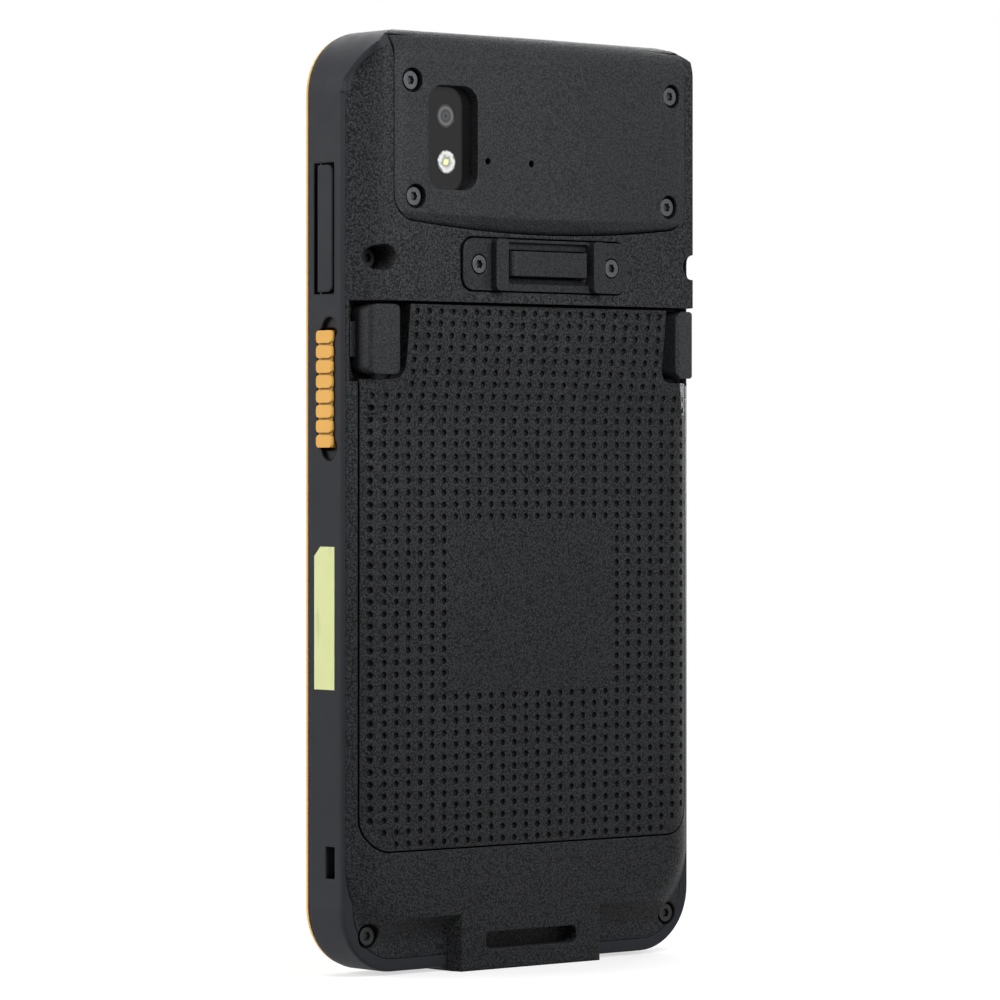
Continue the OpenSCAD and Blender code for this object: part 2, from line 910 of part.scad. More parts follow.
// Sockets and vents in the bottom end
module bottom_openings() {
    translate([0, front_y + usb_mid, -cut])
        linear_extrude(height = bottom_bay_z + 2 * cut)
            racetrack(usb_w, -usb_h / 2, usb_h / 2);
    for (x = pad_spots)
        translate([x, front_y + usb_mid, -cut])
            cylinder(r = pad_r, h = bottom_bay_z + 2 * cut);
    for (i = [-2:2])
        translate([speaker_x + i * vent_pitch, front_y + usb_mid, -cut])
            cylinder(r = vent_r, h = bottom_bay_z + 2 * cut);
    translate([-speaker_x, front_y + usb_mid, -cut])
        cylinder(r = vent_r, h = bottom_bay_z + 2 * cut);
}

module side_frame() {
    color("#3c3f42")
        difference() {
            union() {
                swept()
                    band_section();
                slab(bezel_back, frame_back)
                    foot_outline();
                intersection() {
                    head_form(bezel_back);
                    slab(bezel_back, full_depth)
                        top_ring(cap_wall);
                }
                slab(bezel_back, frame_back)
                    top_ring(frame_wall);
            }
            both_sides() {
                trigger_opening(key_play);
                finger_scoops();
                latch_pocket();
                scoop();
                bar(bottom_spot[0], bottom_spot[1], bottom_floor, full_depth, well_r);
            }
            mirror([1, 0, 0])
                for (key = keys)
                    key_opening(key[0], key[1], key_play);
            door_opening();
            door_pin_hole();
            lanyard_opening();
            bottom_openings();
            scan_opening(0);
            head_cover_room(seam);
        }
}

// ---------- rear housing ----------

module tub() {
    slab(tub_front, frame_back)
        outline(tub_inset);
}

module battery_bay() {
    slab(bay_floor, full_depth)
        rounded(2 * bay_half, case_z - case_play, cover_top + 0.1, 3);
    slab(rim_in - 0.3, full_depth)
        bay_mouth();
    for (side = [-1, 1])
        block(side * tab_x - tab_w / 2 - 0.6, side * tab_x + tab_w / 2 + 0.6,
              tab_front - 1, tab_front + tab_t + 0.8, case_z - tab_drop - 0.4, case_z);
}

module trigger_cavity() {
    block(cavity_in, half_w, tub_front - cut, key_depth + trigger_w / 2 + cavity_play,
          trigger_z - trigger_l / 2 - 1.2, trigger_z + trigger_l / 2 + 1.2);
}

module key_cavities() {
    for (key = keys)
        block(cavity_in, half_w, tub_front - cut, key_depth + key_w / 2 + cavity_play,
              key[0] - 0.9, key[0] + key[1] + 0.9);
}

module head_hollows() {
    slab(tub_front - cut, bay_back)
        rounded(2 * board_half + 0.6, head_z + 2, cavity_top + 0.6, 1);
    slab(bay_back - cut, full_depth)
        rounded(2 * cavity_half, cavity_z, cavity_top, cavity_r);
    slab(seat_depth - seal_t, full_depth)
        rounded(2 * (cavity_half + seal_gap + seal_w), cavity_z - seal_gap - seal_w,
                cavity_top + seal_gap, cavity_r + seal_gap);
}

module bracket_recess() {
    slab(bracket_floor, full_depth)
        rounded(bracket_w, bracket_z - bracket_h / 2, bracket_z + bracket_h / 2, 2.6);
    both_sides()
        bar(bracket_screw_x, bracket_z, bracket_seat - bracket_shank, full_depth, shank_r);
}

module strap_slot() {
    slab(strap_slot_floor, full_depth)
        rounded(strap_slot_w, strap_slot_z, strap_slot_z + strap_slot_h, 1.1);
    slab(strap_slot_floor, strap_slot_floor + 1.7)
        rounded(strap_slot_w, strap_slot_z, strap_slot_z + strap_slot_h + 2, 1.1);
}

module rear_housing() {
    color("#2c2d2f")
        difference() {
            union() {
                tub();
                difference() {
                    union() {
                        lower_form();
                        head_form(tub_front);
                    }
                    slab(tub_front - cut, frame_back)
                        square(3 * body_l, center = true);
                    slab(tub_front - cut, full_depth + cut)
                        top_ring(cap_wall);
                }
            }
            battery_bay();
            both_sides() {
                scoop();
                latch_pocket();
                trigger_cavity();
                screw_hole(shoulder_spot[0], shoulder_spot[1], shoulder_seat, shoulder_shank, shoulder_well_r);
                screw_hole(bottom_spot[0], bottom_spot[1], bottom_floor, bottom_shank, well_r);
                for (spot = cover_screw_spots)
                    bar(spot[0], spot[1], cover_seat - cover_shank, seat_depth + cut, shank_r);
            }
            lanyard_opening();
            mirror([1, 0, 0])
                key_cavities();
            head_hollows();
            head_cover_room(seam);
            scan_opening(0);
            bracket_recess();
            strap_slot();
            slab(tub_front - cut, bottom_bay_back)
                rounded(2 * bottom_bay_half, bottom_bay_z, bottom_bay_top, 3);
            bottom_openings();
            door_opening();
            for (i = [-2:2])
                block(i * contact_pitch - 0.6, i * contact_pitch + 0.6,
                      tub_front - cut, bay_floor + cut, contact_z - 2, contact_z + 2);
        }
}

// ---------- head ----------

// Section of the head cover: a crown with sloped sides
module cover_section() {
    rise = tan(cover_side_angle);
    intersection() {
        polygon([[-half_w, 0], [half_w, 0], [half_w, cover_side_depth - head_cover_margin * rise],
                 [0, cover_side_depth + head_cover_half * rise],
                 [-half_w, cover_side_depth - head_cover_margin * rise]]);
        translate([0, full_depth - cover_crown_r])
            circle(r = cover_crown_r, $fn = fine);
    }
}

module head_cover() {
    bevel_in = edge_r - bevel_h;
    bevel_out = edge_r + 1;
    bevel_slope = bevel_drop / bevel_h;
    bevel_angle = 8;
    color("#2f3032")
        difference() {
            intersection() {
                head_cover_room(0);
                slab(0, full_depth + cut)
                    outline(0);
                column(head_z, body_l + cut)
                    cover_section();
            }
            top_rounding(cover_crown_r, full_depth);
            translate([0, front_y, edge_mid_z])
                rotate([-90, 0, 0])
                    rotate([0, 0, 90 - bevel_angle])
                        rotate_extrude(angle = 2 * bevel_angle, $fn = fine)
                            polygon([[bevel_in - 1, full_depth + bevel_slope],
                                     [bevel_out, full_depth + bevel_slope],
                                     [bevel_out, full_depth - bevel_drop - bevel_slope]]);
            slab(0, full_depth + cut)
                translate([window_x, 0])
                    rounded(window_w, window_z - window_l / 2, window_z + window_l / 2, 3);
            for (spot = mic_spots)
                bar(spot[0], spot[1], 0, full_depth + cut, mic_r);
            both_sides()
                for (spot = cover_screw_spots) {
                    bar(spot[0], spot[1], cover_seat, full_depth + cut, well_r);
                    bar(spot[0], spot[1], 0, full_depth, shank_r);
                }
        }
}

module head_seal() {
    color("dimgray")
        slab(seat_depth - seal_t, seat_depth)
            difference() {
                rounded(2 * (cavity_half + seal_gap + seal_w), cavity_z - seal_gap - seal_w,
                        cavity_top + seal_gap, cavity_r + seal_gap);
                rounded(2 * cavity_half + seal_gap, cavity_z - seal_gap / 2,
                        cavity_top, cavity_r);
            }
}

module camera_window() {
    color("black")
        difference() {
            slab(seat_depth, seat_depth + window_t)
                translate([window_x, 0])
                    rounded(window_w, window_z - window_l / 2, window_z + window_l / 2, 3);
            bar(window_x, lens_z, seat_depth - cut, full_depth, lens_r);
            bar(window_x, flash_z, seat_depth - cut, full_depth, lens_r);
        }
}

module camera_lens() {
    color("midnightblue")
        bar(window_x, lens_z, seat_depth, seat_depth + window_t - 0.1, lens_r);
}

module flash_lens() {
    color("ivory")
        bar(window_x, flash_z, seat_depth, seat_depth + window_t + 0.1, lens_r);
}

module camera_module() {
    half = 4.2;
    body_back = seat_depth - 1.9;
    color("darkslategray") {
        block(window_x - half, window_x + half, bay_back, body_back, lens_z - half, lens_z + half);
        bar(window_x, lens_z, body_back, seat_depth, half - 1);
        bar(window_x, flash_z, bay_back, seat_depth, lens_r + 0.4);
    }
}

module wireless_coil() {
    left = 1.8 - cavity_half;
    right = -2;
    low = cavity_z + 1;
    high = cavity_z + 13;
    winding = 2.5;
    color("peru")
        slab(seat_depth - 0.3, seat_depth)
            difference() {
                pad(left, right, low, high, 2);
                pad(left + winding, right - winding, low + winding, high - winding, 1);
            }
}

module scan_window() {
    color("darkred")
        slab(scan_mid - scan_d / 2, scan_mid + scan_d / 2)
            translate([-scan_w / 2, cavity_top + 0.4])
                square([scan_w, body_l - cavity_top - 0.9]);
}

module scan_engine() {
    half = 11;
    engine_l = 13.3;
    optics = 3;
    color("#303840")
        difference() {
            block(-half, half, bay_back + 0.2, seat_depth - 1, cavity_top - engine_l, cavity_top);
            translate([-half + 6.5, front_y + scan_mid, cavity_top - optics])
                cylinder(r = optics / 2 + 0.4, h = optics + cut);
            block(1.5, half - 2.5, scan_mid - optics / 2, scan_mid + optics / 2,
                  cavity_top - optics, cavity_top + cut);
        }
}

module strap_bracket() {
    raised_half = bracket_w / 2 - 6.5;
    open_half = raised_half - 2.7;
    open_low = bracket_low + 2.2;
    open_high = bracket_high - 1.7;
    open_floor = bracket_floor + 0.9;
    bridge_half = open_half - 1;
    bridge_t = 1.5;
    bridge_low = open_low + 0.35;
    bridge_high = open_high - 0.35;
    bridge_r = 1.3;
    color("#232426") {
        difference() {
            union() {
                slab(bracket_floor, plate_back)
                    rounded(bracket_w - 0.6, bracket_low, bracket_high, 2.3);
                both_sides()
                    slab(bracket_floor, bracket_back)
                        pad(open_half, raised_half, bracket_low, bracket_high, 0.8);
            }
            slab(rail_back, bracket_back)
                rounded(2 * open_half, bracket_low + 1.2, bracket_high - 0.5, 0.4);
            slab(open_floor, bracket_back)
                rounded(2 * open_half, open_low, open_high, 0.6);
            both_sides() {
                bar(bracket_screw_x, bracket_z, bracket_seat, bracket_back, screw_r + 0.25);
                bar(bracket_screw_x, bracket_z, 0, full_depth, shank_r);
            }
        }
        column(bridge_low, bridge_high)
            difference() {
                union() {
                    rounded(2 * bridge_half, open_floor + cut, bracket_back, bridge_r);
                    translate([-bridge_half, open_floor])
                        square([2 * bridge_half, bridge_r + cut]);
                }
                rounded(2 * (bridge_half - bridge_t), open_floor - 2 * cut,
                        bracket_back - bridge_t, bridge_r / 2);
            }
    }
}

module bracket_screws() {
    color("dimgray")
        both_sides()
            screw(bracket_screw_x, bracket_z, bracket_seat, bracket_head_h, bracket_shank);
}

module cover_screws() {
    color("dimgray")
        both_sides()
            for (spot = cover_screw_spots)
                screw(spot[0], spot[1], cover_seat, 0.9, cover_shank);
}

module shoulder_screws() {
    color("dimgray")
        both_sides()
            screw(shoulder_spot[0], shoulder_spot[1], shoulder_seat, 1.1, shoulder_shank);
}

module bottom_screws() {
    color("dimgray")
        both_sides()
            screw(bottom_spot[0], bottom_spot[1], bottom_floor, 0.7, bottom_shank);
}

// ---------- electronics ----------

module main_board() {
    color("darkgreen")
        slab(board_front, board_front + board_t)
            rounded(2 * board_half, board_z, board_top, 1);
}

module shield_cans() {
    can_low = board_z + 2;
    color("silver")
        slab(board_front + board_t, bay_back - 0.1) {
            pad(-28, -4, can_low, can_low + 20, 1);
            pad(0, 26, can_low, can_low + 14, 1);
        }
}

module card_socket() {
    color("silver")
        difference() {
            block(socket_in, board_half, slot_front + 0.3, board_front,
                  door_z + slot_margin - 0.6, door_top - slot_margin + 0.6);
            block(socket_in + 1, board_half + cut, slot_front + 0.6, board_front - 0.3,
                  door_z + slot_margin, door_top - slot_margin);
        }
}

module side_switches() {
    color("gainsboro") {
        both_sides()
            block(cavity_in, cavity_in + switch_t, key_depth - 0.9, key_depth + 0.9,
                  trigger_z - 2, trigger_z + 2);
        for (key = keys)
            block(-cavity_in - switch_t, -cavity_in, key_depth - 0.9, key_depth + 0.9,
                  key[0] + key[1] / 2 - 1.2, key[0] + key[1] / 2 + 1.2);
    }
}

module microphones() {
    color("gold") {
        for (spot = mic_spots)
            block(spot[0] - 1.2, spot[0] + 1.2, seat_depth - 1, seat_depth,
                  spot[1] - 1.2, spot[1] + 1.2);
        block(-speaker_x - 1.3, -speaker_x + 1.3, usb_mid - 1.3, usb_mid + 1.3,
              bottom_bay_z, bottom_bay_z + 1);
    }
}

module bottom_board() {
    color("darkgreen")
        slab(tub_front + 0.1, tub_front + 0.9)
            rounded(2 * bottom_bay_half - 2, bottom_bay_z + 0.3, bottom_bay_top - 0.5, 2.5);
}

module usb_shell(wall) {
    racetrack(usb_w - 2 * wall, -usb_h / 2 + wall, usb_h / 2 - wall);
}

module usb_socket() {
    color("silver")
        translate([0, front_y + usb_mid, 0]) {
            difference() {
                translate([0, 0, 0.4])
                    linear_extrude(height = 8)
                        usb_shell(0.02);
                translate([0, 0, -cut])
                    linear_extrude(height = 7.4 + cut)
                        usb_shell(usb_wall);
            }
            translate([-3.2, -0.35, 1.4])
                cube([6.4, 0.7, 6.2]);
        }
}

module dock_contacts() {
    color("gold")
        for (x = pad_spots)
            translate([x, front_y + usb_mid, 0.2])
                cylinder(r = pad_r, h = bottom_bay_z);
}

module speaker() {
    color("#404448")
        slab(tub_front + 1, bottom_bay_back - 0.2)
            pad(speaker_x - 5.5, speaker_x + 5.5, bottom_bay_z + 0.4, bottom_bay_z + 8.4, 1.5);
}

module vibration_motor() {
    color("silver")
        bar(-speaker_x, 12.4, tub_front + 0.9, bottom_bay_back - 0.8, 4);
}

module bay_contacts() {
    color("gold")
        for (i = [-2:2])
            block(i * contact_pitch - 0.5, i * contact_pitch + 0.5,
                  tub_front, bay_floor + 0.15, contact_z - 1.8, contact_z + 1.8);
}

module side_label() {
    label_z = 48.5;
    label_back = band_depth - 1.8;
    corner = 1.6;
    color("khaki")
        across(half_w, half_w + 0.12)
            polygon([[label_back - label_w, label_z], [label_back, label_z],
                     [label_back, label_z + label_l], [label_back - label_w + corner, label_z + label_l],
                     [label_back - label_w, label_z + label_l - corner]]);
}

// ---------- card door ----------

module card_door() {
    color("#333639")
        difference() {
            union() {
                translate([door_axis_x, front_y + door_pin_depth, door_z])
                    cylinder(r = door_barrel_r, h = door_l);
                across(door_in, half_w + door_proud) {
                    pad(door_pin_depth, door_pin_depth + door_reach, door_z, door_top, door_corner_r);
                    translate([door_pin_depth, door_z])
                        square([door_corner_r, door_l]);
                }
            }
            translate([door_axis_x, front_y + door_pin_depth, door_z - cut])
                cylinder(r = door_pin_r + pin_play, h = door_l + 2 * cut);
        }
}

module card_door_seal() {
    color("dimgray")
        block(door_in - 0.9, door_in, door_pin_depth + 1, door_pin_depth + 2.6,
              door_z + slot_margin + 0.4, door_top - slot_margin - 0.4);
}

module card_door_pin() {
    color("silver")
        door_pin_hole();
}

// ---------- battery pack ----------

module ramp() {
    intersection() {
        across(-cover_half, cover_half)
            intersection() {
                translate(ramp_centre)
                    circle(r = ramp_r, $fn = fine);
                translate([band_depth, ramp_z])
                    square([full_depth - band_depth, ramp_l]);
            }
        column(0, body_l)
            polygon([[-half_w, band_depth], [half_w, band_depth],
                     [half_w - (full_depth - band_depth) / tan(shoulder_angle), full_depth],
                     [-half_w + (full_depth - band_depth) / tan(shoulder_angle), full_depth]]);
    }
}

function is_blank(col, row) =
    col >= (dimple_cols - blank_count) / 2 && col < (dimple_cols + blank_count) / 2
    && row >= dimple_rows - 18 - blank_count && row < dimple_rows - 18 ? false : true;

function back_at(x, z) =
    let (edge = abs(x) - arc_x,
         side = edge > 0 ? shoulder_r - sqrt(max(pow(shoulder_r, 2) - pow(edge, 2), 1)) : 0,
         lift = z > ramp_z ? ramp_centre[0] - back_depth
             + sqrt(pow(ramp_r, 2) - pow(z - ramp_centre[1], 2)) : 0)
    back_depth - side + lift;

function in_cover(x, z) =
    let (margin = 1.1,
         corner = [cover_half - cover_r, cover_z + cover_r])
    (z < notch_z - margin || abs(x) < neck_half - margin)
    && (abs(x) < corner[0] || z > corner[1]
        || norm([abs(x), z] - corner) < cover_r - margin);

module dimples() {
    for (col = [0:dimple_cols - 1], row = [0:dimple_rows - 1]) {
        x = (col - (dimple_cols - 1) / 2) * dimple_pitch_x;
        z = cover_top - 1.2 - row * dimple_pitch_z;
        if (in_cover(x, z) && is_blank(col, dimple_rows - 1 - row))
            bar(x, z, back_at(x, z) - dimple_depth, full_depth, dimple_d / 2, $fn = 20);
    }
}

module battery_cover() {
    color("#2b2c2e")
        difference() {
            intersection() {
                union() {
                    column(0, head_z)
                        shoulder_section();
                    ramp();
                }
                slab(rim_in, full_depth)
                    cover_outline();
            }
            block(-case_w / 2 - 0.05, case_w / 2 + 0.05, 0, case_back,
                  case_z - 0.05, case_top + 0.05);
            dimples();
        }
}

module battery_case() {
    color("#202123")
        difference() {
            union() {
                slab(case_front, case_back)
                    rounded(case_w, case_z, case_top, 2.5);
                for (side = [-1, 1])
                    block(side * tab_x - tab_w / 2, side * tab_x + tab_w / 2,
                          tab_front, tab_front + tab_t, case_z - tab_drop, case_z + cut);
            }
            both_sides() {
                block(shelf_x, half_w, pocket_depth, full_depth, notch_z - 0.4, body_l);
                block(tongue_in - latch_travel - 0.3, half_w, latch_floor, latch_floor + 1.9,
                      latch_mid - tongue_h / 2 - 0.3, latch_mid + tongue_h / 2 + 0.3);
                block(tongue_in - latch_travel - 0.3 - spring_l - 0.1, tongue_in,
                      latch_floor - 0.4, case_back, latch_mid - 1.7, latch_mid + 1.7);
            }
            slab(case_front + case_wall, full_depth)
                rounded(case_w - 2 * case_wall, case_z + case_wall, cell_top + 0.3, 1.5);
            slab(case_front + case_wall, full_depth)
                rounded(pack_board_w + 2, cell_top + 1.5, case_top - case_wall, 1.5);
        }
}

module battery_cell() {
    color("steelblue")
        slab(case_front + case_wall, case_back - 0.2)
            rounded(case_w - 2 * case_wall - 0.6, case_z + case_wall + 0.3, cell_top, 2);
}

module pack_board() {
    color("darkgreen")
        slab(case_front + case_wall, case_front + case_wall + 0.8)
            rounded(pack_board_w, cell_top + 2, case_top - case_wall - 0.5, 0.8);
}

module pack_contacts() {
    color("gold")
        for (i = [-2:2])
            block(i * contact_pitch - 0.8, i * contact_pitch + 0.8,
                  case_front - 0.1, case_front, contact_z - 2.2, contact_z + 2.2);
}

module contact_seal() {
    color("dimgray")
        slab(case_front - 0.2, case_front)
            difference() {
                rounded(22, contact_z - 5, contact_z + 5, 1.5);
                rounded(19, contact_z - 3.5, contact_z + 3.5, 1);
            }
}

module latch_springs() {
    color("silver")
        both_sides()
            translate([tongue_in - latch_travel - 0.3 - spring_l, front_y + latch_floor + 0.95, latch_mid])
                rotate([0, 90, 0])
                    difference() {
                        cylinder(r = spring_r, h = spring_l);
                        translate([0, 0, -cut])
                            cylinder(r = spring_r - 0.4, h = spring_l + 2 * cut);
                    }
}

module latch() {
    crest = back_depth + latch_rise;
    intersection() {
        slab(latch_floor, full_depth)
            pad(latch_in, latch_out, latch_z, latch_z + latch_l, 1.5);
        column(latch_z, latch_z + latch_l)
            polygon([[latch_in, latch_floor], [latch_out, latch_floor],
                     [latch_out, back_depth + latch_low - 0.6], [latch_out - 0.5, back_depth + latch_low],
                     [latch_in + 0.5, crest], [latch_in, crest - 0.4]]);
    }
    block(tongue_in, latch_in + cut, latch_floor + 0.3, latch_floor + 1.6,
          latch_mid - tongue_h / 2, latch_mid + tongue_h / 2);
    block(latch_out - cut, pocket_half - nose_play, latch_floor + 0.2, latch_floor + 0.9,
          latch_mid - 3, latch_mid + 3);
}

module latch_right() {
    color("#1f2022")
        latch();
}

module latch_left() {
    color("#1f2022")
        mirror([1, 0, 0])
            latch();
}

// ---------- triggers and keys ----------

module trigger() {
    pitch = trigger_l / trigger_ribs;
    low = trigger_z - trigger_l / 2;
    across(flange_out - flange_t, flange_out)
        pad(key_depth - trigger_w / 2 - trigger_flange, key_depth + trigger_w / 2 + trigger_flange,
            low - 0.8, low + trigger_l + 0.8, 1.2);
    across(flange_out - 0.1, half_w + trigger_proud - rib_step)
        pad(key_depth - trigger_w / 2 + 0.3, key_depth + trigger_w / 2 - 0.3,
            low + 0.2, low + trigger_l - 0.2, 1.2);
    for (i = [0:trigger_ribs - 1])
        across(flange_out - 0.1, half_w + trigger_proud)
            pad(key_depth - trigger_w / 2, key_depth + trigger_w / 2,
                low + i * pitch + rib_gap / 2, low + (i + 1) * pitch - rib_gap / 2, 0.7);
}

module trigger_right() {
    color("orange")
        trigger();
}

module trigger_left() {
    color("orange")
        mirror([1, 0, 0])
            trigger();
}

module side_key(at) {
    z = at[0];
    l = at[1];
    color("#4a4d50")
        mirror([1, 0, 0]) {
            across(flange_out - flange_t, flange_out)
                pad(key_depth - key_w / 2 - 0.4, key_depth + key_w / 2 + 0.4, z - 0.5, z + l + 0.5, 1);
            across(flange_out - 0.1, half_w + key_proud)
                pad(key_depth - key_w / 2, key_depth + key_w / 2, z, z + l, key_w / 2.2);
        }
}

module power_key() {
    side_key(power_key_at);
}

module volume_up_key() {
    side_key(volume_up_at);
}

module volume_down_key() {
    side_key(volume_down_at);
}

// ---------- drawing ----------

accent_ring();
front_bezel();
touch_glass();
earpiece_mesh();
front_camera();
status_lens();
display_panel();
midframe();
side_frame();
rear_housing();
head_cover();
head_seal();
camera_window();
camera_lens();
flash_lens();
camera_module();
wireless_coil();
scan_window();
scan_engine();
strap_bracket();
bracket_screws();
cover_screws();
shoulder_screws();
bottom_screws();
main_board();
shield_cans();
card_socket();
side_switches();
earpiece();
microphones();
bottom_board();
usb_socket();
dock_contacts();
speaker();
vibration_motor();
bay_contacts();
side_label();
card_door();
card_door_seal();
card_door_pin();
battery_cover();
battery_case();
battery_cell();
pack_board();
pack_contacts();
contact_seal();
latch_springs();
latch_right();
latch_left();
trigger_right();
trigger_left();
power_key();
volume_up_key();
volume_down_key();
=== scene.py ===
import json
import math

import bpy
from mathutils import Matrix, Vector


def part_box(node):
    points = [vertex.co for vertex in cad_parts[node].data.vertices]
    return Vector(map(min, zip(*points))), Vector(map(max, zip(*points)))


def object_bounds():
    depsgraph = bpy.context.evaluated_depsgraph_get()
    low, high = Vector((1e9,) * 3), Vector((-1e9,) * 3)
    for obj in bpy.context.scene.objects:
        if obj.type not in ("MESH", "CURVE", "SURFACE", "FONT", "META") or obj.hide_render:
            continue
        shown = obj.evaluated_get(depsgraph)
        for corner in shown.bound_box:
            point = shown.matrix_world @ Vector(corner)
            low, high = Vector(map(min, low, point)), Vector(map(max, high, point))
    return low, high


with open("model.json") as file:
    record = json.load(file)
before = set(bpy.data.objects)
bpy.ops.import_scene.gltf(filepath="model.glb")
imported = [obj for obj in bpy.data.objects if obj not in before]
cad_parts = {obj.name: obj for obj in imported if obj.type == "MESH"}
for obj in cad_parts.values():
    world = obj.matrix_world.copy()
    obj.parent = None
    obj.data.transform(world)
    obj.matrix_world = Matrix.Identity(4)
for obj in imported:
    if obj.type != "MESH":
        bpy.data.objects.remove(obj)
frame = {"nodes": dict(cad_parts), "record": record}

CAD_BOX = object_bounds()
NODES = frame["nodes"]
MM = 0.001

# ---------- surface settings ----------

BEVEL_SAMPLES = 4
OCCLUSION_SAMPLES = 8
# Cosine between the softened and the true normal: no edge lightening, and full edge lightening
# for wear and painted highlight
EDGE_RANGE = (0.97, 0.8)
# Share of open sky at which a pit's painted shade is darkest, and at which a face is its own
# colour
SKY_RANGE = (0.2, 0.85)
# Stretches of a noise's values that a change of shade or gloss is spread over
WIDE, NARROW, UPPER = (0.3, 0.7), (0.35, 0.65), (0.4, 0.7)
FULL = (0.0, 1.0)

# Scales of the textures, about in features per metre
LEATHER_PEBBLES, LEATHER_CREASES = 2900.0, 3100.0
LEATHER_MOTTLE = 30.0
MOULDED_MOTTLE = 38.0
RUBBING = 260.0
STREAKS = 900.0
HAZE = 300.0
GLASS_SMEAR, SCREEN_SMEAR = 60.0, 45.0
DUST = 900.0
FIBRES, STAINS, SCUFFS = 1500.0, 170.0, 500.0
FACETS = 1300.0
LENS_DUST = 400.0
# Stretches the scuffs along the label
ALONG_LABEL = (1.0, 1.0, 0.15)
# The bands of Blender's wave texture repeat every BAND_PITCH / scale
BAND_PITCH = 0.314

# The leather's height: what its pebbles weigh in it, and its lowest and highest points
PEBBLE_WEIGHT = -0.8
LEATHER_HEIGHTS = (-0.1, 0.45)
# The moulded grain's pebbles are wider than its creases
PEBBLES_PER_CREASE = 0.8

# Depths of the finer textures
STREAK_DEPTH = 0.004 * MM
FIBRE_DEPTH = 0.008 * MM
FACET_DEPTH = 0.05 * MM
WIRE_DEPTH = 0.05 * MM
# Roundings of the edges
METAL_EDGE = 0.08 * MM
GLASS_EDGE = 0.12 * MM
FILM_EDGE = 0.06 * MM
# Widths up to which a pit, well or gap gets painted shade on its surface
MOULDED_REACH = 1.6 * MM
LEATHER_REACH = 1.4 * MM
METAL_REACH = 0.9 * MM
FLASH_REACH = 0.4 * MM
# Radius of the rings seen in the camera glass
BARREL_RADIUS = 2.0 * MM
# Dark border inside the display panel's outline
DISPLAY_RIM = 1.5 * MM

# ---------- light, floor and camera settings ----------

# Strength of the world as a light, and the point that every lamp is turned to
AMBIENT = 0.1
MIDDLE = (0.0, 0.0, 0.09)
# Name, place, width, height, power
SOFTBOXES = (
    ("key", (0.035, 0.175, 0.2), 0.1, 0.1, 0.47),
    ("side", (0.7, -0.45, 0.35), 0.5, 0.6, 6.0),
    ("screen", (-0.3, -0.9, 0.5), 0.7, 0.7, 4.0),
    ("far", (-0.7, -0.45, 0.35), 0.5, 0.6, 5.5),
)

WHITE = (1.0, 1.0, 1.0, 1.0)
# Half the floor's side
FLOOR_HALF = 0.6
# The floor's own grey, and what it adds for rays that show the background
FLOOR_PALE = (0.5, 0.5, 0.5, 1.0)
FLOOR_GLOW = (0.62, 0.62, 0.62, 1.0)
# Distances from the middle between which the floor turns into the white background
FADE_START, FADE_END = 0.08, 0.3

# The camera: sensor and lens in mm, and the rest in metres
SENSOR_WIDTH = 36.0
LENS = 183.74
SHIFT_UP = -0.035
CAMERA_CLIP = (0.05, 20.0)
CAMERA_PLACE = (0.58144, 0.66442, 0.08636)
CAMERA_FORWARD = (-0.65606, -0.75471, 0.0)


# ---------- material building ----------

